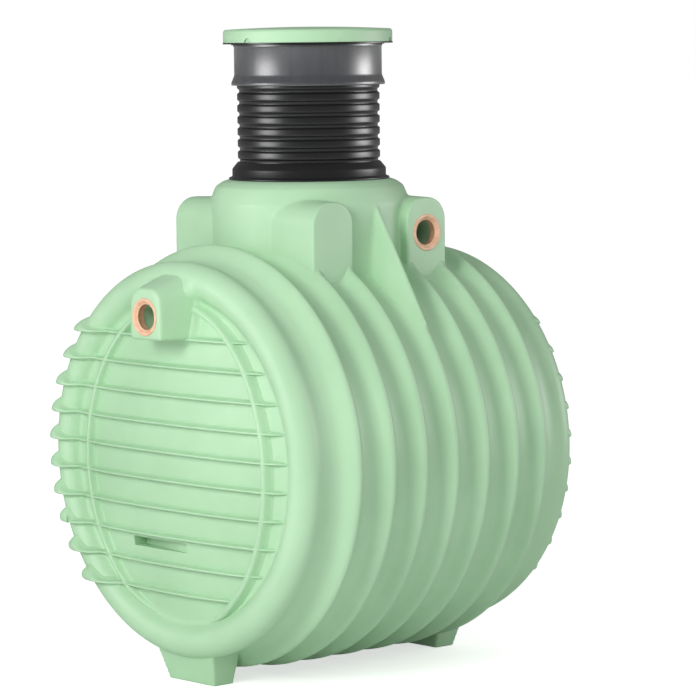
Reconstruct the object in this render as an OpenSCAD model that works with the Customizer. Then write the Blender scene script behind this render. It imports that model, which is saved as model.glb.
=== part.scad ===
// Underground rainwater tank: a ribbed lying barrel with two domed ends, a neck on top, and a
// telescopic access shaft under a lift-off lid. Millimetres, floor at z = 0, X along the barrel,
// inlet end towards -X, origin on the floor under the middle of the neck.

/* [Barrel] */
// Radius over the crests of the middle rings
ring_r = 930; // [860:5:1000]
// Distance from one ring crest to the next
ring_pitch = 180; // [160:1:200]
// Depth of the valleys between the rings
ring_depth = 52; // [30:1:70]
// How sharp the ring crests are
ring_sharp = 1.5; // [1:0.1:2.5]
// How much smaller in radius the two end rings are
end_drop = 76; // [40:1:100]
// Wall of the moulded tank
wall = 12; // [8:1:18]
// Gap between the floor and the lowest ring
ground_gap = 35; // [20:1:80]

/* [Domed ends] */
// Radius of the bead that closes the barrel at each end
bead_r = 76; // [60:1:90]
// Rise of the dish inside the bead, from its rim to its middle
dish_rise = 60; // [40:1:90]
// Height of the ribs over the dish
rib_rise = 35; // [20:1:50]
// Thickness of the ribs
rib_t = 10; // [6:1:16]
// Distance between the level ribs
rib_pitch = 122; // [100:1:130]
// Number of level ribs on each end
rib_count = 10; // [6:1:12]
// Height of the rib pattern's middle above the barrel's axis
rib_mid = -20; // [-40:1:20]
// Clearance between the ends of the ribs on their short side and the bead
rib_short = 10; // [4:1:30]
// Width of the oval rib
oval_w = 1180; // [900:10:1300]
// Height of the oval rib
oval_h = 1390; // [1200:10:1440]

/* [Pipe connections] */
// Radius of the pipe that the connections take
pipe_r = 55; // [50:1:63]
// Outer radius of the flange of a pipe seal
seal_r = 80; // [72:1:90]
// How far a pipe seal stands proud of its boss
seal_proud = 5; // [2:1:10]
// Distance of the inlet's face from the middle of the tank
inlet_x = 935; // [900:5:980]
// Distance of the inlet's middle below the top of the end ring
inlet_drop = 228; // [210:1:250]
// Distance of the neck connections' faces from the middle of the tank
lug_y = 460; // [440:1:520]
// Distance of the neck connections from the middle of the neck along the barrel
lug_x = 272; // [240:1:300]
// Distance of the neck connections' middles below the top of the neck
lug_drop = 233; // [215:1:245]
// Width of a neck connection
lug_w = 228; // [200:1:260]

/* [Neck] */
// Outer radius of the neck
neck_r = 437; // [420:1:470]
// Rise of the neck's top over the barrel's rings
neck_rise = 248; // [220:1:290]
// Clear radius of the manhole
manhole_r = 300; // [280:1:302]
// Thickness of the gusset webs
gusset_t = 16; // [10:1:24]

/* [Feet] */
// Length of a foot along the barrel
foot_len = 172; // [140:1:200]
// Width of a foot across the barrel
foot_w = 400; // [300:10:600]
// Distance of a foot's middle from the middle of the tank
foot_x = 672; // [600:1:680]

/* [Shaft] */
// Outer radius of the riser over its ribs
riser_r = 312; // [306:1:316]
// Depth of the grooves between the riser's ribs
riser_groove = 9; // [4:1:12]
// Distance from one riser rib to the next
riser_pitch = 50.5; // [45:0.5:56]
// Number of riser ribs
riser_ribs = 8; // [6:1:8]
// Height of the plain foot and cone of the riser
riser_base_h = 76; // [70:1:90]
// Outer radius of the telescopic sleeve
sleeve_r = 323; // [322:0.5:328]
// Wall of the telescopic sleeve
sleeve_wall = 5.5; // [4:0.5:6]
// Height of the sleeve
sleeve_h = 175; // [160:1:220]
// Height of the sleeve's lower edge above the top of the neck
sleeve_rise = 410; // [400:1:422]
// Outer radius of the lid
lid_r = 370; // [360:1:390]
// Height of the lid's rim
lid_h = 57; // [45:1:70]
// Rise of the lid's top from its edge to its middle
lid_crown = 10; // [4:1:16]
// Clearance of seats that part or take a seal
seat_gap = 0.3; // [0.2:0.1:0.5]

/* [Hidden] */
$fn = 180;
rings_each_side = 4;
barrel_sectors = 8;
sector_angle = 360/barrel_sectors;
x_end = rings_each_side*ring_pitch;
end_r = ring_r - end_drop;
axis_h = ring_r + ground_gap;
inlet_h = end_r - inlet_drop;
neck_top = ring_r + neck_rise;
lug_h = neck_top - lug_drop;
sleeve_z = neck_top + sleeve_rise;
steps_per_ring = 10;
bulge_power = 5.2;
green = "#B4E2B6";
black = "#222224";
grey = "#4A4B4E";
orange = "#F2B08C";

// Outline of the ribbed barrel
function ring_wave(x) = pow((1 + cos(360*x/ring_pitch))/2, ring_sharp);
function body_r(x) = ring_r - end_drop*pow(abs(x)/x_end, bulge_power) - ring_depth*(1 - ring_wave(x));
barrel_steps = 2*rings_each_side*steps_per_ring;
barrel_xs = [for (i = [0:barrel_steps]) -x_end + i*ring_pitch/steps_per_ring];
barrel_outer = [for (x = barrel_xs) [body_r(x), x]];
barrel_inner = [for (i = [barrel_steps:-1:0]) [body_r(barrel_xs[i]) - wall, barrel_xs[i]]];

// Outline of a domed end, as radius and distance beyond the end ring: a broad bead, a groove inside
// it and a shallow dish
bead_mid_r = end_r - bead_r;
bead_low = -75;
groove_r = bead_mid_r + bead_r*sin(bead_low);
groove_t = bead_r*cos(bead_low);
dish_power = 3;
dish_steps = 12;
function dish_t(r) = groove_t + dish_rise*(1 - pow(r/groove_r, dish_power));
function bead(radius) = [for (a = [90:-15:bead_low]) [bead_mid_r + radius*sin(a), radius*cos(a)]];
function dish(first, lift) = [for (i = [0:dish_steps])
    let (r = first*(1 - i/dish_steps)) [r, dish_t(r) + lift]];
function reversed(list) = [for (i = [len(list) - 1:-1:0]) list[i]];
end_outline = concat(bead(bead_r), dish(groove_r - 1, 0));
end_inside = reversed(concat(bead(bead_r - wall), dish(groove_r, -wall)));

// Outlines of the rib edges. On one side a level rib runs on over the bead and ends in a rounded
// lobe, and on the other side it fades out before the bead. The oval rib keeps its height.
rib_reach = groove_r - rib_short;
rib_fade_r = 0.8*groove_r;
lobe_from = -15;
lobe_to = 45;
lobe_foot = 68;
function fade(r) = sqrt(1 - pow(max(r - rib_fade_r, 0)/(rib_reach - rib_fade_r), 2));
function rib_short_edge() = concat([[0, 0], [rib_reach, 0]], [for (i = [0:dish_steps])
    let (r = rib_fade_r + (rib_reach - rib_fade_r)*cos(90*i/dish_steps)) [r, dish_t(r) + rib_rise*fade(r)]],
    dish(rib_fade_r - 1, rib_rise));
lobe_foot_point = [bead_mid_r + (bead_r - 2)*sin(lobe_foot), (bead_r - 2)*cos(lobe_foot)];
function rib_long_edge() = concat([[0, 0], [bead_mid_r, 0], lobe_foot_point],
    [for (a = [lobe_to:-15:lobe_from])
        [bead_mid_r + (bead_r + rib_rise)*sin(a), (bead_r + rib_rise)*cos(a)]],
    dish(rib_fade_r, rib_rise));
function oval_edge() = concat([[0, 0], [groove_r - 1, 0]], dish(groove_r - 1, rib_rise));

module around_axis() { translate([0, 0, axis_h]) rotate([0, 90, 0]) children(); }
module at_front() { mirror([1, 0, 0]) children(); }

// Solids of the filled shape, for pieces that seat on it
module filled_barrel() {
    around_axis() rotate_extrude() polygon(concat([[0, -x_end]], barrel_outer, [[0, x_end]]));
}
module filled_end() {
    around_axis() translate([0, 0, x_end]) rotate_extrude()
        polygon(concat([[0, -wall], [end_r, -wall]], end_outline));
}

// Barrel wall in sectors, the two top ones cut round the neck
module barrel_sector(i) {
    color(green) difference() {
        around_axis() rotate([0, 0, (i - 1)*sector_angle])
            rotate_extrude(angle = sector_angle) polygon(concat(barrel_outer, barrel_inner));
        if (i == 4 || i == 5) translate([0, 0, axis_h]) rotate([0, 0, i == 4 ? -90 : 90])
            cylinder(h = 2*ring_r, r = neck_r);
    }
}

// Domed end with its bead, shown on the +X side
module dish_shell(open_inlet) {
    difference() {
        around_axis() translate([0, 0, x_end]) rotate_extrude()
            polygon(concat(end_outline, end_inside));
        if (open_inlet) inlet_hole();
    }
}
module inlet_hole() {
    translate([x_end - wall, 0, axis_h + inlet_h]) rotate([0, 90, 0])
        cylinder(h = inlet_x, r = seal_sleeve_r + seat_gap);
}
module front_dish() { color(green) at_front() dish_shell(true); }
module rear_dish() { color(green) dish_shell(false); }

// Level ribs and the oval rib, moulded with the domed end. The half towards +Y has the long ends.
module rib_slabs() {
    for (i = [0:rib_count - 1])
        translate([x_end, -ring_r, axis_h + rib_mid + (i - (rib_count - 1)/2)*rib_pitch - rib_t/2])
            cube([inlet_x, 2*ring_r, rib_t]);
}
module edge_half(outline, turn) {
    around_axis() translate([0, 0, x_end]) rotate([0, 0, turn]) rotate_extrude(angle = 180)
        polygon(outline);
}
module dish_ribs() {
    difference() {
        union() {
            intersection() {
                union() {
                    edge_half(rib_long_edge(), 0);
                    edge_half(rib_short_edge(), 180);
                }
                rib_slabs();
            }
            intersection() {
                around_axis() translate([0, 0, x_end]) rotate_extrude() polygon(oval_edge());
                translate([x_end, 0, axis_h + rib_mid]) rotate([90, 0, 90])
                    linear_extrude(inlet_x) oval_ring();
            }
        }
        filled_end();
        boss_block();
    }
}
oval_steps = 72;
function oval(w, h) = [for (i = [0:oval_steps - 1])
    [w/2*cos(360*i/oval_steps), h/2*sin(360*i/oval_steps)]];
module oval_ring() {
    difference() {
        polygon(oval(oval_w, oval_h));
        polygon(oval(oval_w - 2*rib_t, oval_h - 2*rib_t));
    }
}
module front_dish_ribs() { color(green) at_front() dish_ribs(); }
module rear_dish_ribs() { color(green) mirror([0, 1, 0]) dish_ribs(); }

// Flat-faced boss at the top of a domed end, drafted towards its face
boss_w = 230;
boss_draft = 40;
boss_lift = 12;
boss_up = 120;
boss_down = 98;
boss_corner = 45;
module rounded(w, down, up, corner) {
    hull() {
        for (side = [-1, 1]) {
            translate([side*(w/2 - corner), up - corner]) circle(corner, $fn = 32);
            translate([side*(w/2 - 10), 10 - down]) circle(10, $fn = 32);
        }
    }
}
module boss_block() {
    hull() {
        translate([inlet_x - 1, 0, axis_h + inlet_h]) rotate([90, 0, 90])
            linear_extrude(1) rounded(boss_w, boss_down, boss_up, boss_corner);
        translate([x_end, 0, axis_h + inlet_h]) rotate([90, 0, 90])
            linear_extrude(1) rounded(boss_w + 2*boss_draft, boss_down, boss_up + boss_lift,
                boss_corner + boss_draft);
    }
}
module end_boss(open_inlet) {
    difference() {
        boss_block();
        filled_end();
        if (open_inlet) {
            inlet_hole();
            translate([inlet_x - seal_seat, 0, axis_h + inlet_h]) rotate([0, 90, 0])
                cylinder(h = 2*seal_seat, r = seal_r + seat_gap);
        }
    }
}
module inlet_boss() { color(green) at_front() end_boss(true); }
module rear_boss() { color(green) end_boss(false); }

// Lip seal of a pipe connection: a flange in a seat and a sleeve through the wall
seal_seat = 10;
seal_sleeve_r = pipe_r + 9;
seal_depth = 42;
module pipe_seal() {
    rotate_extrude() polygon([[pipe_r, -seal_depth], [seal_sleeve_r, -seal_depth],
        [seal_sleeve_r, -seal_seat + seat_gap], [seal_r, -seal_seat + seat_gap],
        [seal_r, seal_proud - 2], [seal_r - 2, seal_proud], [pipe_r + 6, seal_proud],
        [pipe_r, seal_proud - 8]]);
}
module inlet_seal() {
    color(orange) translate([-inlet_x, 0, axis_h + inlet_h]) rotate([0, -90, 0]) pipe_seal();
}
module outlet_seal() {
    color(orange) translate([lug_x, -lug_y, axis_h + lug_h]) rotate([90, 0, 0]) pipe_seal();
}

// Neck standing on the barrel, and its shoulder with the manhole
shoulder_h = 100;
shoulder_taper = 25;
crown_h = 30;
crown_in = 57;
shoulder_r = neck_r - shoulder_taper;
module neck_wall() {
    color(green) difference() {
        translate([0, 0, axis_h]) cylinder(h = neck_top - shoulder_h, r = neck_r);
        cylinder(h = 2*axis_h + neck_top, r = neck_r - wall);
        around_axis() translate([0, 0, -x_end])
            cylinder(h = 2*x_end, r = ring_r - ring_depth - wall);
        lug_hole();
    }
}
module neck_shoulder() {
    color(green) translate([0, 0, axis_h + neck_top]) rotate_extrude() polygon([
        [neck_r, -shoulder_h], [neck_r - shoulder_taper/2, -2*crown_h], [shoulder_r, -crown_h],
        [shoulder_r - crown_in/2, -crown_h/3], [shoulder_r - crown_in, 0],
        [manhole_r, 0], [manhole_r, -wall], [shoulder_r - crown_in, -wall],
        [shoulder_r - crown_in/2 - wall/2, -crown_h/3 - wall], [shoulder_r - wall, -crown_h - wall/2],
        [neck_r - shoulder_taper/2 - wall, -2*crown_h - wall/4], [neck_r - wall, -shoulder_h]]);
}

// Flat-faced lugs on the neck, seated on the neck and on the barrel
lug_up = 153;
lug_corner = 70;
lug_down = 260;
module lug_block() {
    hull() {
        translate([lug_x, -lug_y + 1, axis_h + lug_h]) rotate([90, 0, 0])
            linear_extrude(1) rounded(lug_w, lug_down, lug_up, lug_corner);
        translate([lug_x, 0, axis_h + lug_h]) rotate([90, 0, 0])
            linear_extrude(1) rounded(lug_w + 24, lug_down, lug_up + 12, lug_corner);
    }
}
module lug_hole() {
    translate([lug_x, 1 - neck_r/2, axis_h + lug_h]) rotate([90, 0, 0])
        cylinder(h = lug_y, r = seal_sleeve_r + seat_gap);
}
module neck_lug(open_outlet) {
    difference() {
        lug_block();
        cylinder(h = 2*axis_h + neck_top, r = neck_r);
        filled_barrel();
        if (open_outlet) {
            lug_hole();
            translate([lug_x, -lug_y + seal_seat, axis_h + lug_h]) rotate([90, 0, 0])
                cylinder(h = 2*seal_seat, r = seal_r + seat_gap);
        }
    }
}
module outlet_lug() { color(green) neck_lug(true); }
module near_front_lug() { color(green) mirror([1, 0, 0]) neck_lug(false); }
module far_front_lug() { color(green) mirror([0, 1, 0]) mirror([1, 0, 0]) neck_lug(false); }
module far_rear_lug() { color(green) mirror([0, 1, 0]) neck_lug(false); }

// Webs in the plane of the middle ring that brace the neck
gusset_top = neck_top - shoulder_h + 8;
gusset_foot_angle = 38.75;
gusset_foot_r = ring_r + 12;
gusset_foot = gusset_foot_r*[cos(gusset_foot_angle), sin(gusset_foot_angle)];
module gusset() {
    difference() {
        translate([gusset_t/2, 0, axis_h]) rotate([90, 0, -90]) linear_extrude(gusset_t)
            polygon([[0, gusset_top], [neck_r, gusset_top], gusset_foot, [0, gusset_foot[1]]]);
        cylinder(h = 2*axis_h + neck_top, r = neck_r);
        filled_barrel();
    }
}
module near_gusset() { color(green) mirror([0, 1, 0]) gusset(); }
module far_gusset() { color(green) gusset(); }

// Transverse feet under the last rings, with rounded lower edges
foot_round = 60;
foot_edge = 14;
foot_top = ground_gap + 205;
module foot_block() {
    intersection() {
        translate([0, foot_w/2, 0]) rotate([90, 0, 0]) linear_extrude(foot_w) hull() {
            translate([foot_x + foot_len/2 - foot_round, foot_round]) circle(foot_round, $fn = 32);
            translate([foot_x - foot_len/2 + foot_edge, foot_edge]) circle(foot_edge, $fn = 32);
            translate([foot_x - foot_len/2, foot_top - 1]) square([foot_len, 1]);
        }
        translate([foot_x - foot_len/2, 0, 0]) rotate([90, 0, 90]) linear_extrude(foot_len) hull() {
            for (side = [-1, 1]) {
                translate([side*(foot_w/2 - foot_round), foot_round]) circle(foot_round, $fn = 32);
                translate([side*foot_w/2 - (side + 1)/2, foot_top - 1]) square(1);
            }
        }
    }
}
module foot() {
    difference() {
        foot_block();
        filled_barrel();
        filled_end();
        around_axis() translate([0, 0, x_end]) cylinder(h = foot_len, r = bead_mid_r);
    }
}
module front_foot() { color(green) at_front() foot(); }
module rear_foot() { color(green) foot(); }

// Corrugated riser on the neck, with its base flange
base_lip_r = riser_r + 40;
base_step_r = riser_r + 25;
riser_wall = 8;
riser_inner = riser_r - riser_groove - riser_wall;
module riser_base() {
    color(black) translate([0, 0, axis_h + neck_top]) rotate_extrude() polygon([
        [riser_inner, 0], [base_lip_r, 0], [base_lip_r, 8], [base_step_r, 14],
        [base_step_r, 50], [riser_r + 2, riser_base_h - 2], [riser_r, riser_base_h],
        [riser_inner, riser_base_h]]);
}
riser_crest = 0.56;
riser_flank = 0.1;
function riser_rib(i) = let (z = i*riser_pitch) [
    [riser_r - riser_groove, z], [riser_r - riser_groove, z + 0.24*riser_pitch],
    [riser_r, z + (0.24 + riser_flank)*riser_pitch],
    [riser_r, z + (0.24 + riser_flank + riser_crest)*riser_pitch]];
module riser() {
    color(black) translate([0, 0, axis_h + neck_top + riser_base_h]) rotate_extrude()
        polygon(concat([for (i = [0:riser_ribs - 1]) each riser_rib(i)],
            [[riser_r - riser_groove, riser_ribs*riser_pitch], [riser_inner, riser_ribs*riser_pitch],
            [riser_inner, 0]]));
}

// Telescopic sleeve with its flared skirt, and the seal that runs on the riser
skirt_h = 14;
skirt_cone_h = 30;
skirt_flare = 13;
module sleeve() {
    color(grey) translate([0, 0, axis_h + sleeve_z]) rotate_extrude() polygon([
        [sleeve_r + skirt_flare, 0], [sleeve_r + skirt_flare, skirt_h],
        [sleeve_r, skirt_h + skirt_cone_h], [sleeve_r, sleeve_h - 9],
        [sleeve_r + 3, sleeve_h - 6], [sleeve_r + 3, sleeve_h],
        [sleeve_r - sleeve_wall, sleeve_h], [sleeve_r - sleeve_wall, skirt_h + skirt_cone_h],
        [sleeve_r - sleeve_wall + skirt_flare, skirt_h], [sleeve_r - sleeve_wall + skirt_flare, 0]]);
}
module sleeve_seal() {
    color(black) translate([0, 0, axis_h + sleeve_z + 1]) difference() {
        cylinder(h = skirt_h - 3, r = sleeve_r - sleeve_wall + skirt_flare);
        translate([0, 0, -1]) cylinder(h = skirt_h, r = riser_r + seat_gap);
    }
}

// Seat flange on the sleeve, and the lid
seat_h = 10;
seat_flange_h = 6;
module lid_seat() {
    color(black) translate([0, 0, axis_h + sleeve_z + sleeve_h]) difference() {
        union() {
            cylinder(h = seat_h, r = sleeve_r + 12);
            translate([0, 0, seat_h - seat_flange_h]) cylinder(h = seat_flange_h, r = lid_r + 2);
        }
        translate([0, 0, -1]) cylinder(h = seat_h + 2, r = riser_inner);
    }
}
lid_top_t = 8;
lid_skirt_t = 10;
plug_r = riser_inner - 6;
plug_depth = 16;
plug_t = 6;
lid_round = 12;
module lid() {
    color(green) translate([0, 0, axis_h + sleeve_z + sleeve_h + seat_h + seat_gap])
        rotate_extrude() polygon([
            [lid_r, 0], [lid_r, lid_h - lid_round], [lid_r - 4, lid_h - 4], [lid_r - lid_round, lid_h],
            [lid_r/2, lid_h + 0.75*lid_crown], [0, lid_h + lid_crown],
            [0, lid_h + lid_crown - lid_top_t], [lid_r/2, lid_h + 0.75*lid_crown - lid_top_t],
            [plug_r, lid_h - lid_top_t], [plug_r, -plug_depth], [plug_r + plug_t, -plug_depth],
            [plug_r + plug_t, lid_h - lid_top_t], [lid_r - lid_skirt_t, lid_h - lid_top_t],
            [lid_r - lid_skirt_t, 0]]);
}

barrel_sector(1);  // barrel_wall_1
barrel_sector(2);  // barrel_wall_2
barrel_sector(3);  // barrel_wall_3
barrel_sector(4);  // barrel_wall_4
barrel_sector(5);  // barrel_wall_5
barrel_sector(6);  // barrel_wall_6
barrel_sector(7);  // barrel_wall_7
barrel_sector(8);  // barrel_wall_8
front_dish();
rear_dish();
front_dish_ribs();
rear_dish_ribs();
inlet_boss();
rear_boss();
inlet_seal();
neck_wall();
neck_shoulder();
outlet_lug();
near_front_lug();
far_front_lug();
far_rear_lug();
outlet_seal();
near_gusset();
far_gusset();
front_foot();
rear_foot();
riser_base();
riser();
sleeve();
sleeve_seal();
lid_seat();
lid();
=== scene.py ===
import math

import bmesh
import bpy
from mathutils import Matrix, Vector


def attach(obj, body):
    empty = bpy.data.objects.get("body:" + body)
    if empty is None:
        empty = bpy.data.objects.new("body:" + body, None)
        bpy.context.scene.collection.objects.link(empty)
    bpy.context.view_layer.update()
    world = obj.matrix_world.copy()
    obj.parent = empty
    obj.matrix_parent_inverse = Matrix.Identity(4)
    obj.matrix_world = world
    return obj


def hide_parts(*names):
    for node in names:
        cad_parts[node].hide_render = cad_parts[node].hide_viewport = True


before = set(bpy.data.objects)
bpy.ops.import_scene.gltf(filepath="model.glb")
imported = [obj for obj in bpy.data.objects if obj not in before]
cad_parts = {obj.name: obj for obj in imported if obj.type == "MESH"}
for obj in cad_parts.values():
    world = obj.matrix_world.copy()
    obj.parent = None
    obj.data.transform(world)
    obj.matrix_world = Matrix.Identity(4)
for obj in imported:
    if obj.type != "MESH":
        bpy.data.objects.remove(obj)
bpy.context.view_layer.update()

# Camera. It stands as high as the lid, some 15 m off the corner between the front domed end and the
# near side of the rings, and takes in both and the whole shaft through a long lens.
camera_place = Vector((-9.984, -11.323, 2.781))
camera_azimuth = math.radians(-42.0186)
camera_elevation = math.radians(5.2491)
camera_roll = math.radians(0.6099)
camera_lens = 177.99
sensor_width = 36
camera_data = bpy.data.cameras.new("camera")
camera_data.sensor_width = sensor_width
camera_data.lens = camera_lens
camera = bpy.data.objects.new("camera", camera_data)
back = Vector((math.sin(camera_azimuth)*math.cos(camera_elevation),
               -math.cos(camera_azimuth)*math.cos(camera_elevation),
               math.sin(camera_elevation)))
level_right = Vector((math.cos(camera_azimuth), math.sin(camera_azimuth), 0))
level_up = back.cross(level_right)
right = level_right*math.cos(camera_roll) - level_up*math.sin(camera_roll)
up = level_right*math.sin(camera_roll) + level_up*math.cos(camera_roll)
camera.matrix_world = Matrix.Translation(camera_place) @ Matrix((right, up, back)).transposed().to_4x4()
bpy.context.scene.collection.objects.link(camera)
bpy.context.scene.camera = camera
bpy.context.scene.view_settings.view_transform = "Standard"


# Studio. A white floor that runs to the horizon and keeps the tank's soft shadow, under a white sky.
# A key box in front of the domed end and a weaker one on the near side light the tank; two more show
# in reflections alone, as the bands of light down the shaft.
def linear(colour):
    """An sRGB hex colour as linear RGBA."""
    channels = [int(colour[i:i + 2], 16)/255 for i in (1, 3, 5)]
    return [c/12.92 if c <= 0.04045 else ((c + 0.055)/1.055)**2.4 for c in channels] + [1.0]


def add(tree, kind, inputs=None, **settings):
    """Adds a shader node with its settings, and its inputs as values or as links from other sockets."""
    made = tree.nodes.new("ShaderNode" + kind)
    for name, value in settings.items():
        setattr(made, name, value)
    for socket, value in (inputs or {}).items():
        if isinstance(value, bpy.types.NodeSocket):
            tree.links.new(value, made.inputs[socket])
        else:
            made.inputs[socket].default_value = value
    return made


def new_material(name):
    """An empty node material."""
    made = bpy.data.materials.new(name)
    made.use_nodes = True
    made.node_tree.nodes.clear()
    return made


floor_half = 120
floor_lift = 0.62
floor_material = new_material("studio_floor_white_paint")
tree = floor_material.node_tree
path = add(tree, "LightPath")
matt = add(tree, "BsdfDiffuse", {"Color": linear("#F4F4F4")})
glow = add(tree, "Emission", {"Color": (1, 1, 1, 1), "Strength": floor_lift})
lit = add(tree, "AddShader", {0: matt.outputs[0], 1: glow.outputs[0]})
seen = add(tree, "MixShader", {0: path.outputs["Is Camera Ray"], 1: matt.outputs[0], 2: lit.outputs[0]})
add(tree, "OutputMaterial", {"Surface": seen.outputs[0]})
bm = bmesh.new()
bmesh.ops.create_grid(bm, x_segments=1, y_segments=1, size=floor_half)
floor_mesh = bpy.data.meshes.new("studio_floor")
bm.to_mesh(floor_mesh)
bm.free()
floor_mesh.materials.append(floor_material)
studio_floor = bpy.data.objects.new("studio_floor", floor_mesh)
bpy.context.scene.collection.objects.link(studio_floor)

sky_light = 0.50
sky_mirror = 0.22
world = bpy.data.worlds.new("studio_sky")
world.use_nodes = True
bpy.context.scene.world = world
tree = world.node_tree
tree.nodes.clear()
path = add(tree, "LightPath")
direct = add(tree, "Math", {0: path.outputs["Is Camera Ray"], 1: path.outputs["Is Transmission Ray"]},
             operation="MAXIMUM")
shine = add(tree, "MapRange", {"Value": path.outputs["Is Glossy Ray"], "To Min": sky_light,
                               "To Max": sky_mirror})
sky = add(tree, "Background", {"Color": (1, 1, 1, 1), "Strength": shine.outputs[0]})
white = add(tree, "Background", {"Color": (1, 1, 1, 1), "Strength": 1.0})
seen = add(tree, "MixShader", {0: direct.outputs[0], 1: sky.outputs[0], 2: white.outputs[0]})
add(tree, "OutputWorld", {"Surface": seen.outputs[0]})


def soft_box(name, place, target, width, height, power, in_reflections):
    """A rectangular area lamp that faces its target, and lights it or shows in its reflections alone."""
    lamp = bpy.data.lights.new(name, "AREA")
    lamp.shape = "RECTANGLE"
    lamp.size = width
    lamp.size_y = height
    lamp.energy = power
    lamp_object = bpy.data.objects.new(name, lamp)
    lamp_object.location = place
    lamp_object.rotation_euler = (Vector(target) - Vector(place)).to_track_quat("-Z", "Y").to_euler()
    lamp_object.visible_diffuse = not in_reflections
    lamp_object.visible_glossy = in_reflections
    bpy.context.scene.collection.objects.link(lamp_object)


soft_box("key_light", (-8.6, -2.2, 4.8), (0, 0, 1.2), 3.5, 3.5, 485, in_reflections=False)
soft_box("near_light", (-2.0, -9.5, 5.0), (0, 0, 1.4), 2.0, 4.0, 100, in_reflections=False)
soft_box("front_streak", (-8.6, 3.0, 2.8), (0, 0, 2.6), 4.5, 2.4, 520, in_reflections=True)
soft_box("rear_streak", (7.0, -5.0, 2.8), (0, 0, 2.6), 4.0, 2.4, 440, in_reflections=True)


# Green tank plastic: rotationally moulded polyethylene, through-coloured light green. The mould's
# grained wall leaves it satin, a little uneven in tone over half a metre or so, with an orange-peel
# skin, drawn some 6 mm coarse so that it shows.
clouds_per_m = 2.2
peel_per_m = 160.0
green = new_material("rotomoulded_light_green_polyethylene")
tree = green.node_tree
place = add(tree, "TexCoord")
clouding = add(tree, "TexNoise", {"Vector": place.outputs["Object"], "Scale": clouds_per_m, "Detail": 3.0})
tones = add(tree, "ValToRGB", {"Fac": clouding.outputs["Fac"]})
tones.color_ramp.elements[0].position = 0.30
tones.color_ramp.elements[0].color = linear("#A8CFA8")
tones.color_ramp.elements[1].position = 0.70
tones.color_ramp.elements[1].color = linear("#B4DAB4")
peel = add(tree, "TexNoise", {"Vector": place.outputs["Object"], "Scale": peel_per_m, "Detail": 2.0})
peel_bump = add(tree, "Bump", {"Height": peel.outputs["Fac"], "Strength": 0.12, "Distance": 0.0015})
plastic = add(tree, "BsdfPrincipled", {"Base Color": tones.outputs["Color"], "Roughness": 0.53,
                                       "IOR": 1.5, "Normal": peel_bump.outputs["Normal"]})
add(tree, "OutputMaterial", {"Surface": plastic.outputs[0]})


# Barrel. The lying body of the moulded tank: nine rounded rings, lower towards the ends, in a wall of
# 12 mm. Rotationally moulded in one piece with everything green, so its skin runs on into the neck.
ring_r = 0.930
ring_pitch = 0.180
ring_depth = 0.055
ring_sharp = 2.3
rings_each_side = 4
end_drop = 0.076
bulge_power = 5.2
wall = 0.012
ground_gap = 0.035
x_end = rings_each_side*ring_pitch
axis_z = ring_r + ground_gap
barrel_columns = 132
barrel_inner_columns = 48
round_steps = 480
plain_steps = 240
bead_r = 0.076
bead_mid_r = ring_r - end_drop - bead_r
bead_turn = 165
bead_step = 5
bead_low = math.radians(90 - bead_turn)
groove_r = bead_mid_r + bead_r*math.sin(bead_low)
groove_t = bead_r*math.cos(bead_low)
dish_rise = 0.060
dish_power = 3
dish_steps = 60
end_softening = 10
neck_r = 0.437
lug_x = 0.272
lug_y = 0.460
lug_w = 0.228
lug_spread = 0.008
web_t = 0.016
web_reach = 0.735
neck_cove = 0.012
neck_zone = 0.5
# How far a cutter runs past what it cuts.
spare = 0.1


def body_r(x):
    """Outer radius of the ribbed barrel."""
    wave = ((1 + math.cos(math.tau*x/ring_pitch))/2)**ring_sharp
    return ring_r - end_drop*(abs(x)/x_end)**bulge_power - ring_depth*(1 - wave)


def dish_x(r):
    """Distance of the dish's outer face from the middle of the tank."""
    return x_end + groove_t + dish_rise*(1 - (r/groove_r)**dish_power)


def softened(points, passes):
    """The same open outline with its corners eased, ends kept."""
    for _ in range(passes):
        middle = [tuple((a + 2*b + c)/4 for a, b, c in zip(*near))
                  for near in zip(points, points[1:], points[2:])]
        points = [points[0]] + middle + [points[-1]]
    return points


def lathe(profile, steps, place=(0, 0, 0), turn=Matrix()):
    """A solid of revolution about +Z from (radius, height) points in order, then turned and placed."""
    bm = bmesh.new()
    ring = [bm.verts.new((r, 0, h)) for r, h in profile]
    edges = [bm.edges.new((a, b)) for a, b in zip(ring, ring[1:] + ring[:1]) if a.co.x + b.co.x > 1e-7]
    bmesh.ops.spin(bm, geom=ring + edges, cent=(0, 0, 0), axis=(0, 0, 1), angle=math.tau, steps=steps,
                   use_merge=True)
    bmesh.ops.remove_doubles(bm, verts=bm.verts, dist=1e-6)
    bmesh.ops.recalc_face_normals(bm, faces=bm.faces)
    bmesh.ops.transform(bm, matrix=Matrix.Translation(place) @ turn, verts=bm.verts)
    return bm


def show(name, bm, material, body, replaced, sharp):
    """Puts a bmesh in the scene as a smooth-shaded piece that rides on a body and stands for CAD nodes."""
    mesh = bpy.data.meshes.new(name)
    bm.to_mesh(mesh)
    bm.free()
    mesh.materials.append(material)
    mesh.shade_smooth()
    mesh.set_sharp_from_angle(angle=math.radians(sharp))
    piece = bpy.data.objects.new(name, mesh)
    bpy.context.scene.collection.objects.link(piece)
    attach(piece, body)
    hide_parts(*replaced)


def loose(bm):
    """A bmesh as a plain object, for a cut or a merge."""
    mesh = bpy.data.meshes.new("loose")
    bm.to_mesh(mesh)
    bm.free()
    made = bpy.data.objects.new("loose", mesh)
    bpy.context.scene.collection.objects.link(made)
    return made


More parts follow.
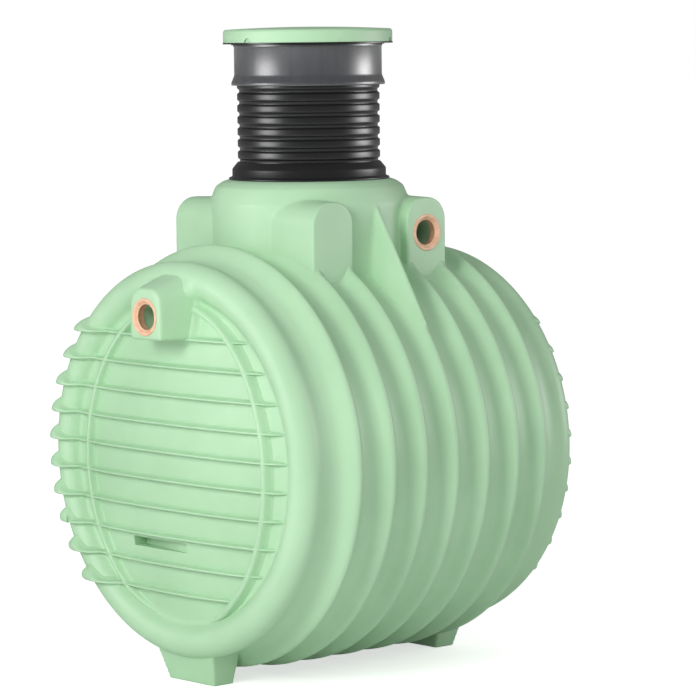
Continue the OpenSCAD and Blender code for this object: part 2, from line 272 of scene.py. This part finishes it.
def settled(made):
    """The object's mesh with its modifiers applied, as a bmesh; the object goes."""
    bpy.context.view_layer.update()
    mesh = bpy.data.meshes.new_from_object(made.evaluated_get(bpy.context.evaluated_depsgraph_get()))
    bm = bmesh.new()
    bm.from_mesh(mesh)
    bpy.data.meshes.remove(mesh)
    bpy.data.objects.remove(made)
    return bm


def cut(bm, *cutters, operation="DIFFERENCE"):
    """A closed bmesh with other closed bmeshes taken out of it, or fused to it."""
    target = loose(bm)
    tools = [loose(cutter) for cutter in cutters]
    for tool in tools:
        carve = target.modifiers.new("carve", "BOOLEAN")
        carve.operation = operation
        carve.solver = "MANIFOLD"
        carve.object = tool
    made = settled(target)
    for tool in tools:
        bpy.data.objects.remove(tool)
    return made


def cove(gap, radius):
    """Height of a round fillet at that gap from the wall it climbs."""
    reach = radius - min(max(gap, 0), radius)
    return radius - math.sqrt(radius*radius - reach*reach)


def box_gap(dx, dy):
    """Distance outside a box from the distances past its two sides, negative inside."""
    return math.hypot(max(dx, 0), max(dy, 0)) + min(max(dx, dy), 0)


def neck_gap(x, y):
    """Distance in plan from the neck with its lugs and webs."""
    return min(math.hypot(x, y) - neck_r,
               box_gap(abs(abs(x) - lug_x) - lug_w/2 - lug_spread, abs(y) - lug_y),
               box_gap(abs(x) - web_t/2, abs(y) - web_reach))


# The outer outline of an end, from the last valley over the bead, its groove and the dish to the middle.
bend_x = 0.63
barrel_xs = [-x_end + 2*x_end*i/barrel_columns for i in range(barrel_columns + 1)]
bead_angles = [math.radians(90 - bead_step*i) for i in range(1, bead_turn//bead_step + 1)]
dish_radii = [groove_r*(1 - i/dish_steps) for i in range(1, dish_steps + 1)]
end_line = softened(
    [(x, body_r(x)) for x in barrel_xs if x > bend_x]
    + [(x_end + bead_r*math.cos(a), bead_mid_r + bead_r*math.sin(a)) for a in bead_angles]
    + [(dish_x(r), r) for r in dish_radii], end_softening)
seam = sum(1 for x in barrel_xs if x > bend_x) - 1
barrel_line = [(x, body_r(x)) for x in barrel_xs if abs(x) <= bend_x]
barrel_line = [(-x, r) for x, r in reversed(end_line[:seam + 1])] + barrel_line + end_line[:seam + 1]
inner_xs = [x_end - 2*x_end*i/barrel_inner_columns for i in range(barrel_inner_columns + 1)]
along_x = Matrix.Rotation(math.radians(90), 4, "Y")
bm = lathe([(r, x) for x, r in barrel_line] + [(body_r(x) - wall, x) for x in inner_xs], round_steps,
           (0, 0, axis_z), along_x)
# The skin of the barrel's top climbs a small fillet round the neck, its lugs and its webs.
for vert in bm.verts:
    over = vert.co.z - axis_z
    if over > neck_zone and math.hypot(vert.co.y, over) > body_r(vert.co.x) - wall/2:
        rise = cove(neck_gap(vert.co.x, vert.co.y), neck_cove)
        vert.co += Vector((0, vert.co.y, over)).normalized()*rise
above = 2*axis_z + spare
neck_bore = lathe([(0, axis_z), (neck_r - wall/2, axis_z), (neck_r - wall/2, above), (0, above)],
                  plain_steps)
show("barrel_skin", cut(bm, neck_bore), green, "tank",
     ["barrel_wall_%d" % i for i in range(1, 9)], sharp=70)


# Domed ends. Each closes the barrel with a broad rounded bead, a groove inside it and a shallow dish,
# moulded with the barrel. The one towards -X is open for the inlet pipe and has a slot low in its dish,
# which deepens towards +Y into a pocket of its own.
inlet_drop = 0.228
inlet_z = axis_z + ring_r - end_drop - inlet_drop
inlet_x = 0.935
seal_bore_r = 0.0643
seal_seat_r = 0.0803
seal_seat_depth = 0.010
hole_steps = 96
hole_spare = 0.05
boss_w = 0.200
boss_draft = 0.045
boss_down = 0.098
boss_up = 0.120
boss_lift = 0.085
boss_foot_x = x_end - 0.02
boss_cove = 0.030
boss_zone = 0.2
cove_start = 0.018
cove_past = 0.010
cove_fade = 0.050
slot_from = -0.080
slot_to = 0.285
slot_low = -0.388
slot_high = -0.347
slot_shallow = -0.782
slot_deep = -0.715
slot_wall = 0.006
slot_mouth = -0.90
pocket_front = -0.777
inner_bead_step = 15
inner_dish_steps = 20
inner_bead = [(x_end + (bead_r - wall)*math.cos(a), bead_mid_r + (bead_r - wall)*math.sin(a))
              for a in [math.radians(90 - inner_bead_step*i) for i in range(bead_turn//inner_bead_step + 1)]]
inner_radii = [groove_r*(1 - i/inner_dish_steps) for i in range(inner_dish_steps + 1)]
inner_dish = [(dish_x(r) - wall, r) for r in inner_radii]


def facing(side):
    """The turn that points a lathed shape out of the end at that side."""
    return Matrix.Rotation(math.radians(90*side), 4, "Y")


def pipe_hole(side):
    """Cutter for the pipe's way in through the end at that side."""
    return lathe([(0, x_end - hole_spare), (seal_bore_r, x_end - hole_spare),
                  (seal_bore_r, inlet_x + hole_spare), (0, inlet_x + hole_spare)], hole_steps,
                 (0, 0, inlet_z), facing(side))


def boss_gap(y, z, out):
    """Distance of a point at that distance out from the outline of a boss."""
    share = (inlet_x - out)/(inlet_x - boss_foot_x)
    top = boss_up + boss_lift*share
    return box_gap(abs(y) - boss_w/2 - boss_draft*share,
                   abs(z - inlet_z - (top - boss_down)/2) - (top + boss_down)/2)


def hull_of(points):
    """A convex bmesh round points."""
    bm = bmesh.new()
    for point in points:
        bm.verts.new(point)
    bmesh.ops.convex_hull(bm, input=bm.verts)
    loners = [vert for vert in bm.verts if not vert.link_faces]
    bmesh.ops.delete(bm, geom=loners, context="VERTS")
    bmesh.ops.recalc_face_normals(bm, faces=bm.faces)
    return bm


def slot_wedge(front, grown):
    """The slot's room in the front dish, or with some growth its moulded pocket: deep at its +Y end."""
    return hull_of([(x, y, axis_z + z)
                    for y, depth in ((slot_from - grown, slot_shallow), (slot_to + grown, slot_deep))
                    for x in (front, depth + grown) for z in (slot_low - grown, slot_high + grown)])


def domed_end(name, side, node, is_open):
    """One end of the tank, its dish and the inner side of its bead climbing a fillet to the boss."""
    bm = lathe([(r, x) for x, r in end_line[seam:] + list(reversed(inner_bead + inner_dish))], round_steps,
               (0, 0, axis_z), facing(side))
    for vert in bm.verts:
        out = vert.co.x*side
        if vert.co.z > inlet_z - boss_zone and out > x_end + cove_start:
            inside = bead_mid_r + cove_past - math.hypot(vert.co.y, vert.co.z - axis_z)
            fade = min(max(inside/cove_fade, 0), 1)
            vert.co.x += side*fade*cove(boss_gap(vert.co.y, vert.co.z, out), boss_cove)
    if is_open:
        bm = cut(bm, slot_wedge(pocket_front, slot_wall), operation="UNION")
        bm = cut(bm, pipe_hole(side), slot_wedge(slot_mouth, 0))
    show(name, bm, green, "tank", [node], sharp=70)


domed_end("front_end_skin", -1, "front_dish", True)
domed_end("rear_end_skin", 1, "rear_dish", False)


# Ribs of the domed ends: ten level ribs and one upright oval rib stand out of each dish, moulded with
# it, thin fins on soft feet. One end of a level rib runs over the bead as a rounded lobe.
rib_rise = 0.035
rib_pitch = 0.122
rib_count = 10
rib_mid = axis_z - 0.020
rib_reach = groove_r - 0.010
rib_fade_r = 0.8*groove_r
rib_sink = 0.003
rib_back = 0.007
rib_thin = 0.4
bead_limit = math.radians(80)
lobe_full = math.radians(38)
lobe_end = math.radians(66)
lobe_before = 0.020
lobe_blend = 0.050
tip_share = 0.25
tip_steps = 14
run_steps = 50
lobe_steps = 22
# Sections as (sideways, share of the height) points, from the lower or inner side to the other one.
fin_section = [(-0.022, 0), (-0.012, 0.10), (-0.0075, 0.35), (-0.0058, 0.75), (-0.0045, 0.93),
               (-0.002, 1.0), (0.002, 1.0), (0.0045, 0.93), (0.0058, 0.75), (0.0075, 0.35), (0.012, 0.10),
               (0.022, 0)]
lobe_section = [(-0.014, 0), (-0.010, 0.15), (-0.008, 0.45), (-0.006, 0.72), (-0.003, 0.90), (0.002, 1.0),
                (0.013, 1.0), (0.026, 0.90), (0.037, 0.72), (0.046, 0.48), (0.054, 0.20), (0.060, 0)]
oval_section = [(-0.036, 0), (-0.024, 0.12), (-0.016, 0.45), (-0.012, 0.82), (-0.008, 0.97), (0, 1.0),
                (0.008, 0.97), (0.012, 0.82), (0.016, 0.45), (0.024, 0.12), (0.036, 0)]
oval_half_w = 0.590
oval_half_h = 0.695
oval_steps = 240
oval_past = 0.012
oval_fade = 0.035
eyelet_r = 0.015
eyelet_x = 0.816
eyelet_y = 0.700
eyelet_steps = 32


def end_surface(r):
    """Distance out of a domed end at that radius, and the way its ribs stand: straight out, but square
    to the bead's outer half, as a (distance out, radius) pair."""
    if r < groove_r:
        return dish_x(r), (1, 0)
    angle = math.asin(min((r - bead_mid_r)/bead_r, math.sin(bead_limit)))
    return x_end + bead_r*math.cos(angle), (math.cos(max(angle, 0)), math.sin(max(angle, 0)))


def raised(y, z, height, side):
    """A point of a domed end at that y and z, raised the way its ribs stand but kept at its z."""
    r = min(math.hypot(y, z - axis_z), bead_mid_r + bead_r*math.sin(bead_limit))
    out, way = end_surface(r)
    raised_r = r + way[1]*height
    raised_y = math.copysign(math.sqrt(max(raised_r**2 - (z - axis_z)**2, 0)), y)
    return Vector((side*(out + way[0]*height), raised_y, z))


def strip(bm, rows, is_ring):
    """Makes a closed tube or ring from rows of points of the same number."""
    lines = [[bm.verts.new(point) for point in row] for row in rows]
    pairs = list(zip(lines, lines[1:] + lines[:1])) if is_ring else list(zip(lines, lines[1:]))
    for one, two in pairs:
        for i in range(len(one)):
            j = (i + 1) % len(one)
            bm.faces.new((one[i], one[j], two[j], two[i]))
    if not is_ring:
        bm.faces.new(lines[0])
        bm.faces.new(lines[-1])


def level_rib(bm, z, side, lobe_rise):
    """One level rib, its long end towards +Y on the -X end and towards -Y on the +X end."""
    long_side = -side
    short_y = math.sqrt(rib_reach**2 - (z - axis_z)**2)
    bead_y = math.sqrt(bead_mid_r**2 - (z - axis_z)**2)
    run_y = (1 - tip_share)*short_y
    stations = [(-short_y*(1 - (i/tip_steps)**2*tip_share), None) for i in range(tip_steps + 1)]
    stations += [(-run_y + (run_y + bead_y)*i/run_steps, None) for i in range(1, run_steps + 1)]
    for i in range(1, lobe_steps + 1):
        angle = lobe_end*i/lobe_steps
        stations.append((math.sqrt((bead_mid_r + bead_r*math.sin(angle))**2 - (z - axis_z)**2), angle))
    rows = []
    for y, angle in stations:
        r = math.hypot(y, z - axis_z)
        share = 1.0
        if y < 0:
            share = math.sqrt(max(1 - (max(r - rib_fade_r, 0)/(rib_reach - rib_fade_r))**2, 0))
        elif angle is not None and angle > lobe_full:
            share = math.sqrt(max(1 - ((angle - lobe_full)/(lobe_end - lobe_full))**2, 0))
        round_share = min(max((r - bead_mid_r + lobe_before)/lobe_blend, 0), 1) if y > 0 else 0
        share *= 1 - round_share*(1 - lobe_rise/rib_rise)
        narrow = rib_thin + (1 - rib_thin)*share
        section = [((a + (c - a)*round_share)*narrow, b + (d - b)*round_share)
                   for (a, b), (c, d) in zip(fin_section, lobe_section)]
        row = [raised(y*long_side, z + dz, rib_rise*share*lift - rib_sink*(1 - lift*share), side)
               for dz, lift in section]
        row += [raised(y*long_side, z + dz, -rib_back, side) for dz in (section[-1][0], section[0][0])]
        rows.append(row)
    strip(bm, rows, False)


def oval_rib(bm, side):
    """The upright oval rib, kept inside the groove and fading where it comes near it."""
    rows = []
    for i in range(oval_steps):
        angle = math.tau*i/oval_steps
        y, z = oval_half_w*math.cos(angle), oval_half_h*math.sin(angle)
        normal = Vector((oval_half_h*math.cos(angle), oval_half_w*math.sin(angle))).normalized()
        inside = groove_r + oval_past - math.hypot(y, z + rib_mid - axis_z)
        share = min(max(inside/oval_fade, 0), 1)
        points = []
        for d, lift in oval_section:
            py, pz = y + normal.x*d, rib_mid - axis_z + z + normal.y*d
            keep = min(groove_r/math.hypot(py, pz), 1)
            points.append((py*keep, axis_z + pz*keep, lift))
        row = [raised(py, pz, rib_rise*share*lift - rib_sink*(1 - lift*share), side)
               for py, pz, lift in points]
        row += [raised(py, pz, -rib_back, side) for py, pz, lift in (points[-1], points[0])]
        rows.append(row)
    strip(bm, rows, True)


def joined(*shapes):
    """Several bmeshes as one."""
    whole = bmesh.new()
    for shape in shapes:
        mesh = bpy.data.meshes.new("shape")
        shape.to_mesh(mesh)
        shape.free()
        whole.from_mesh(mesh)
        bpy.data.meshes.remove(mesh)
    return whole


def end_ribs(name, side, node, lobe_rise, eyelet_rib):
    """All the ribs of one end; the lobe of one may have an eyelet for a strap."""
    oval = bmesh.new()
    oval_rib(oval, side)
    shapes = [oval]
    for i in range(rib_count):
        z = rib_mid + (i - (rib_count - 1)/2)*rib_pitch
        rib = bmesh.new()
        level_rib(rib, z, side, lobe_rise)
        bmesh.ops.recalc_face_normals(rib, faces=rib.faces)
        if i == eyelet_rib:
            eyelet = lathe([(0, -spare), (eyelet_r, -spare), (eyelet_r, spare), (0, spare)], eyelet_steps,
                           (side*eyelet_x, eyelet_y, z))
            rib = cut(rib, eyelet)
        shapes.append(rib)
    bm = joined(*shapes)
    bmesh.ops.recalc_face_normals(bm, faces=bm.faces)
    show(name, bm, green, "tank", [node], sharp=60)


end_ribs("front_end_ribs", -1, "front_dish_ribs", 0.035, 2)
end_ribs("rear_end_ribs", 1, "rear_dish_ribs", 0.010, None)


# Bosses. A flat-faced, drafted block stands at the top of each domed end, moulded with it; the one
# towards -X holds the seal of the inlet pipe. Its edges are soft and its top slopes up to the bead.
boss_corner = 0.070
boss_voxel = 0.004
boss_passes = 60
corner_steps = 9
core_sink = 0.003
core_inset = 0.004


def tombstone(w, down, up, corner):
    """Points of an outline with a rounded top and a square foot, about the pipe's middle."""
    points = []
    for flank in (-1, 1):
        for i in range(corner_steps + 1):
            angle = math.pi/2*i/corner_steps
            points.append((flank*(w/2 - corner + corner*math.cos(angle)),
                           up - corner + corner*math.sin(angle)))
    return points + [(w/2, -down), (-w/2, -down)]


def softly(bm, voxel, passes):
    """Overlapping closed shapes fused into one skin with soft edges and inner corners."""
    made = loose(bm)
    fuse = made.modifiers.new("fuse", "REMESH")
    fuse.mode = "VOXEL"
    fuse.voxel_size = voxel
    ease = made.modifiers.new("ease", "SMOOTH")
    ease.factor = 0.5
    ease.iterations = passes
    return settled(made)


def end_core(side):
    """Cutter a little inside the skin of the domed end at that side, so that what it trims sits in it."""
    line = [(r - core_sink, x - core_inset) for x, r in end_line[:-1]]
    return lathe([(0, 0)] + line + [(0, end_line[-1][0] - core_inset)], plain_steps, (0, 0, axis_z),
                 facing(side))


def end_boss(name, side, node, is_open):
    """The boss of one end."""
    face = tombstone(boss_w, boss_down, boss_up, boss_corner)
    foot = tombstone(boss_w + 2*boss_draft, boss_down, boss_up + boss_lift, boss_corner + boss_draft)
    block = [(side*inlet_x, y, inlet_z + z) for y, z in face]
    block += [(side*boss_foot_x, y, inlet_z + z) for y, z in foot]
    cutters = [end_core(side)]
    if is_open:
        seat_x = inlet_x - seal_seat_depth
        cutters.append(pipe_hole(side))
        cutters.append(lathe([(0, seat_x), (seal_seat_r, seat_x), (seal_seat_r, inlet_x + hole_spare),
                              (0, inlet_x + hole_spare)], hole_steps, (0, 0, inlet_z), facing(side)))
    bm = cut(softly(hull_of(block), boss_voxel, boss_passes), *cutters)
    show(name, bm, green, "tank", [node], sharp=50)


end_boss("inlet_boss_skin", -1, "inlet_boss", True)
end_boss("rear_boss_skin", 1, "rear_boss", False)


# Neck. A short upright cylinder on the barrel with a rounded shoulder, four tombstone-shaped lugs for
# pipe connections and two webs in the plane of the middle ring, all one skin with soft corners.
neck_rise = 0.248
neck_top = axis_z + ring_r + neck_rise
neck_low = axis_z + 0.70
shoulder_h = 0.100
shoulder_taper = 0.025
crown_h = 0.030
crown_in = 0.057
manhole_r = 0.300
neck_steps = 180
neck_voxel = 0.0058
soft_passes = 12
shoulder = [(neck_r, neck_top - shoulder_h), (neck_r - shoulder_taper/2, neck_top - 2*crown_h),
            (neck_r - shoulder_taper, neck_top - crown_h),
            (neck_r - shoulder_taper - crown_in/2, neck_top - crown_h/3),
            (neck_r - shoulder_taper - crown_in, neck_top)]
shapes = [lathe([(0, neck_low), (neck_r, neck_low)] + shoulder + [(0, neck_top)], neck_steps)]

lug_drop = 0.233
lug_z = neck_top - lug_drop
lug_up = 0.153
lug_down = 0.260
lug_corner = 0.100
lug_draft = 0.012
lug_face = tombstone(lug_w, lug_down, lug_up, lug_corner)
lug_root = tombstone(lug_w + 2*lug_draft, lug_down, lug_up + lug_draft, lug_corner)
for end in (-1, 1):
    for flank in (-1, 1):
        near = [(end*lug_x + x, flank*lug_y, lug_z + z) for x, z in lug_face]
        far = [(end*lug_x + x, 0, lug_z + z) for x, z in lug_root]
        shapes.append(hull_of(near + far))

# A web's corners as (distance from the middle, height, thickness): thin outside, thick in the corner.
web_top_z = neck_top - shoulder_h + 0.012
web_foot_z = axis_z + 0.590
web_root_y = neck_r - 0.10
web = [(neck_r - 0.01, web_top_z, web_t), (web_reach, web_foot_z, web_t),
       (web_root_y, neck_top - shoulder_h - 0.02, 0.060), (web_root_y, web_foot_z, 0.120),
       (web_reach - 0.13, web_foot_z, 0.100)]
for flank in (-1, 1):
    shapes.append(hull_of([(side*t/2, flank*y, z) for y, z, t in web for side in (-1, 1)]))


def barrel_core():
    """Cutter in the middle of the barrel's wall, so that what it trims sits in the wall."""
    line = [(body_r(x) - wall/2, x) for x in barrel_xs]
    return lathe([(0, -x_end)] + line + [(0, x_end)], plain_steps, (0, 0, axis_z), along_x)


bore = lathe([(0, axis_z), (neck_r - wall, axis_z), (neck_r - wall, neck_top - shoulder_h),
              (neck_r - shoulder_taper - wall, neck_top - crown_h - wall),
              (neck_r - shoulder_taper - crown_in, neck_top - wall), (manhole_r, neck_top - wall),
              (manhole_r, neck_top + spare), (0, neck_top + spare)], neck_steps)
to_near_side = Matrix.Rotation(math.radians(90), 4, "X")
way_from = 0.2
outlet_seat_y = lug_y - seal_seat_depth
outlet_way = lathe([(0, way_from), (seal_bore_r, way_from), (seal_bore_r, outlet_seat_y),
                    (seal_seat_r, outlet_seat_y), (seal_seat_r, lug_y + hole_spare),
                    (0, lug_y + hole_spare)], hole_steps, (lug_x, 0, lug_z), to_near_side)
bm = cut(softly(joined(*shapes), neck_voxel, soft_passes), barrel_core(), bore, outlet_way)
show("neck_skin", bm, green, "tank",
     ["neck_wall", "neck_shoulder", "outlet_lug", "near_front_lug", "far_front_lug", "far_rear_lug",
      "near_gusset", "far_gusset"], sharp=50)


# Feet. Two transverse blocks under the last rings, moulded with the barrel and narrower towards the
# floor, with soft edges.
foot_voxel = 0.006
foot_inner_x = 0.586
foot_outer_x = 0.758
foot_top_z = 0.19
foot_half_w = 0.200
foot_sole_inner_x = foot_inner_x + 0.012
foot_sole_outer_x = foot_outer_x - 0.050
foot_sole_half_w = foot_half_w - 0.050


def foot(name, side, node):
    """One foot."""
    block = [(side*x, y, 0) for x in (foot_sole_inner_x, foot_sole_outer_x)
             for y in (-foot_sole_half_w, foot_sole_half_w)]
    block += [(side*x, y, foot_top_z) for x in (foot_inner_x, foot_outer_x)
              for y in (-foot_half_w, foot_half_w)]
    bm = cut(softly(hull_of(block), foot_voxel, soft_passes), barrel_core(), end_core(side))
    show(name, bm, green, "tank", [node], sharp=50)


foot("front_foot_skin", -1, "front_foot")
foot("rear_foot_skin", 1, "rear_foot")


# Pipe seals. A soft lip seal of pale orange rubber is pushed into the hole of each connection: a round
# flange in a seat, a lip inside it and a sleeve through the wall. Moulding leaves it matt, with a bloom
# in patches of some 25 mm.
blooms_per_m = 40.0
orange = new_material("moulded_pale_orange_rubber")
tree = orange.node_tree
place = add(tree, "TexCoord")
bloom = add(tree, "TexNoise", {"Vector": place.outputs["Object"], "Scale": blooms_per_m, "Detail": 3.0})
tones = add(tree, "ValToRGB", {"Fac": bloom.outputs["Fac"]})
tones.color_ramp.elements[0].position = 0.35
tones.color_ramp.elements[0].color = linear("#E2B08C")
tones.color_ramp.elements[1].position = 0.70
tones.color_ramp.elements[1].color = linear("#EEC5A8")
rubber = add(tree, "BsdfPrincipled", {"Base Color": tones.outputs["Color"], "Roughness": 0.55, "IOR": 1.52})
add(tree, "OutputMaterial", {"Surface": rubber.outputs[0]})
pipe_r = 0.055
seal_proud = 0.005
seal_depth = 0.042
seal_r = 0.080
seal_play = 0.0003
seal_steps = 128
seal_back = -seal_seat_depth + seal_play
seal_line = [(seal_bore_r - seal_play, -seal_depth), (seal_bore_r - seal_play, seal_back),
             (seal_r, seal_back), (seal_r, seal_proud - 0.0035), (seal_r - 0.001, seal_proud - 0.0012),
             (seal_r - 0.0035, seal_proud), (seal_r - 0.009, seal_proud),
             (seal_r - 0.0125, seal_proud - 0.0015), (pipe_r + 0.0095, seal_proud - 0.004),
             (pipe_r + 0.007, seal_proud - 0.008), (pipe_r + 0.004, seal_proud - 0.011),
             (pipe_r, seal_proud - 0.013), (pipe_r, seal_proud - 0.016),
             (pipe_r + 0.003, seal_proud - 0.020), (pipe_r + 0.004, -seal_depth)]


def pipe_seal(name, place, turn, node):
    """One seal."""
    show(name, lathe(seal_line, seal_steps, place, turn), orange, "tank", [node], sharp=50)


pipe_seal("inlet_seal_ring", (-inlet_x, 0, inlet_z), facing(-1), "inlet_seal")
pipe_seal("outlet_seal_ring", (lug_x, -lug_y, lug_z), to_near_side, "outlet_seal")


# Riser. A corrugated tube of black polyethylene stands on the neck in a stepped base flange of the same
# stuff. Satin, with soft lights down its sides and slight scuffs some 70 mm wide.
scuffs_per_m = 14.0
black = new_material("satin_black_polyethylene")
tree = black.node_tree
place = add(tree, "TexCoord")
scuff = add(tree, "TexNoise", {"Vector": place.outputs["Object"], "Scale": scuffs_per_m, "Detail": 4.0})
sheen = add(tree, "MapRange", {"Value": scuff.outputs["Fac"], "To Min": 0.30, "To Max": 0.42})
plastic = add(tree, "BsdfPrincipled", {"Base Color": linear("#18181A"), "Roughness": sheen.outputs[0],
                                       "IOR": 1.5})
add(tree, "OutputMaterial", {"Surface": plastic.outputs[0]})
riser_r = 0.312
riser_groove = 0.009
riser_pitch = 0.0505
riser_ribs = 8
riser_wall = 0.008
riser_inner = riser_r - riser_groove - riser_wall
riser_base_h = 0.076
base_lip_r = riser_r + 0.040
base_step_r = riser_r + 0.025
tube_steps = 256
base_line = [(riser_inner, 0), (base_lip_r - 0.002, 0), (base_lip_r, 0.002), (base_lip_r, 0.006),
             (base_lip_r - 0.002, 0.009), (base_step_r + 0.003, 0.012), (base_step_r, 0.016),
             (base_step_r, 0.044), (base_step_r - 0.002, 0.049), (riser_r + 0.006, riser_base_h - 0.006),
             (riser_r + 0.001, riser_base_h - 0.001), (riser_r, riser_base_h), (riser_inner, riser_base_h)]
show("riser_base_ring", lathe(base_line, tube_steps, (0, 0, neck_top)), black, "tank",
     ["riser_base"], sharp=50)
# One corrugation as (distance in from the crest, share of the pitch) points, from its groove upwards.
corrugation = [(riser_groove, 0.02), (riser_groove, 0.20), (riser_groove - 0.002, 0.25), (0.0018, 0.33),
               (0.0003, 0.37), (0, 0.44), (0, 0.84), (0.0006, 0.89), (0.003, 0.93),
               (riser_groove - 0.002, 0.985)]
riser_top = riser_ribs*riser_pitch
riser_line = [(riser_r - inward, (i + share)*riser_pitch)
              for i in range(riser_ribs) for inward, share in corrugation]
riser_line += [(riser_r - riser_groove, riser_top), (riser_inner, riser_top), (riser_inner, 0),
               (riser_r - riser_groove, 0)]
show("riser_tube", lathe(riser_line, tube_steps, (0, 0, neck_top + riser_base_h)), black, "tank",
     ["riser"], sharp=40)


# Telescopic sleeve. A plain tube of dark grey plastic with a flared skirt slides on the riser, and a
# black lip seal in the skirt holds it by friction. It was drawn lengthwise, which leaves faint upright
# streaks some 30 mm wide under a smooth outer skin.
streaks_per_m = (30.0, 30.0, 3.0)
grey = new_material("satin_dark_grey_pvc")
tree = grey.node_tree
place = add(tree, "TexCoord")
stretch = add(tree, "Mapping", {"Vector": place.outputs["Object"], "Scale": streaks_per_m})
drawn = add(tree, "TexNoise", {"Vector": stretch.outputs[0], "Scale": 1.0, "Detail": 3.0})
sheen = add(tree, "MapRange", {"Value": drawn.outputs["Fac"], "To Min": 0.32, "To Max": 0.42})
tones = add(tree, "ValToRGB", {"Fac": drawn.outputs["Fac"]})
tones.color_ramp.elements[0].position = 0.30
tones.color_ramp.elements[0].color = linear("#3C3D40")
tones.color_ramp.elements[1].position = 0.70
tones.color_ramp.elements[1].color = linear("#45464B")
plastic = add(tree, "BsdfPrincipled", {"Base Color": tones.outputs["Color"], "Roughness": sheen.outputs[0],
                                       "IOR": 1.53, "Coat Weight": 1.0, "Coat Roughness": 0.38})
add(tree, "OutputMaterial", {"Surface": plastic.outputs[0]})
lip = new_material("matt_black_lip_seal_rubber")
tree = lip.node_tree
rubber = add(tree, "BsdfPrincipled", {"Base Color": linear("#141414"), "Roughness": 0.6, "IOR": 1.52})
add(tree, "OutputMaterial", {"Surface": rubber.outputs[0]})
sleeve_r = 0.323
sleeve_wall = 0.0055
sleeve_h = 0.175
sleeve_rise = 0.410
sleeve_z = neck_top + sleeve_rise
skirt_h = 0.014
skirt_top = 0.044
skirt_r = sleeve_r + 0.013
skirt_inner = skirt_r - sleeve_wall
collar_r = sleeve_r + 0.003
collar_h = 0.006
sleeve_line = [(skirt_r - 0.001, 0), (skirt_r, 0.0015), (skirt_r, skirt_h - 0.004),
               (skirt_r - 0.001, skirt_h), (skirt_r - 0.004, skirt_h + 0.007),
               (sleeve_r + 0.003, skirt_top - 0.008), (sleeve_r + 0.0006, skirt_top - 0.002),
               (sleeve_r, skirt_top + 0.004), (sleeve_r, sleeve_h - 0.010),
               (sleeve_r + 0.001, sleeve_h - 0.008), (collar_r, sleeve_h - collar_h), (collar_r, sleeve_h),
               (sleeve_r - sleeve_wall, sleeve_h), (sleeve_r - sleeve_wall, skirt_top),
               (skirt_inner, skirt_h), (skirt_inner, 0)]
show("sleeve_tube", lathe(sleeve_line, tube_steps, (0, 0, sleeve_z)), grey, "sleeve",
     ["sleeve"], sharp=40)
lip_play = 0.0003
lip_inset = 0.001
lip_steps = 200
lip_line = [(riser_r + lip_play, 0), (skirt_inner, 0), (skirt_inner, skirt_h - 0.003),
            (riser_r + 0.002, skirt_h - 0.003), (riser_r + lip_play, skirt_h - 0.005)]
show("sleeve_lip_seal", lathe(lip_line, lip_steps, (0, 0, sleeve_z + lip_inset)), lip, "sleeve",
     ["sleeve_seal"], sharp=40)


# Lid and its seat. The seat is a flat black ring on the sleeve; the lid is moulded of the tank's green
# plastic, a little crowned, with a rounded rim, and lies loose on the seat. Three half-round finger
# notches at its rim's foot let hands lift it.
lid_r = 0.370
lid_h = 0.057
lid_crown = 0.010
lid_skin = 0.008
seat_t = 0.010
seat_step = 0.004
seat_r = lid_r + 0.002
seat_foot_r = sleeve_r + 0.012
lid_play = 0.0003
lid_z = sleeve_z + sleeve_h + seat_t + lid_play
seat_line = [(riser_inner, 0), (seat_foot_r, 0), (seat_foot_r, seat_step), (seat_r - 0.001, seat_step),
             (seat_r, seat_step + 0.001), (seat_r, seat_t - 0.001), (seat_r - 0.001, seat_t),
             (riser_inner, seat_t)]
show("lid_seat_ring", lathe(seat_line, tube_steps, (0, 0, sleeve_z + sleeve_h)), black, "sleeve",
     ["lid_seat"], sharp=40)
lid_round = 0.014
rim_wall = 0.010
plug_r = riser_inner - 0.006
plug_wall = 0.006
plug_drop = 0.016
crown_steps = 16
rim = [(lid_r - lid_round*(1 - math.sin(math.radians(a))), lid_h - lid_round*(1 - math.cos(math.radians(a))))
       for a in range(90, -1, -10)]
crown = [((lid_r - lid_round)*(1 - i/crown_steps), lid_h + lid_crown*(1 - (1 - i/crown_steps)**2))
         for i in range(1, crown_steps + 1)]
under = [(0, lid_h + lid_crown - lid_skin), (lid_r/2, lid_h + 0.75*lid_crown - lid_skin),
         (plug_r, lid_h - lid_skin), (plug_r, -plug_drop), (plug_r + plug_wall, -plug_drop),
         (plug_r + plug_wall, lid_h - lid_skin), (lid_r - rim_wall, lid_h - lid_skin), (lid_r - rim_wall, 0),
         (lid_r - 0.001, 0), (lid_r, 0.001)]
notch_r = 0.020
notch_depth = 0.008
notch_spare = 0.02
notch_steps = 48
notch_bearings = (-176, -56, 64)
notch_line = [(0, lid_r - notch_depth), (notch_r, lid_r - notch_depth), (notch_r, lid_r + notch_spare),
              (0, lid_r + notch_spare)]
notches = []
for bearing in notch_bearings:
    away = Matrix.Rotation(math.radians(bearing), 4, "Z") @ Matrix.Rotation(math.radians(90), 4, "Y")
    notches.append(lathe(notch_line, notch_steps, (0, 0, lid_z), away))
bm = cut(lathe(rim + crown + under, tube_steps, (0, 0, lid_z)), *notches)
show("lid_cover", bm, green, "lid", ["lid"], sharp=40)
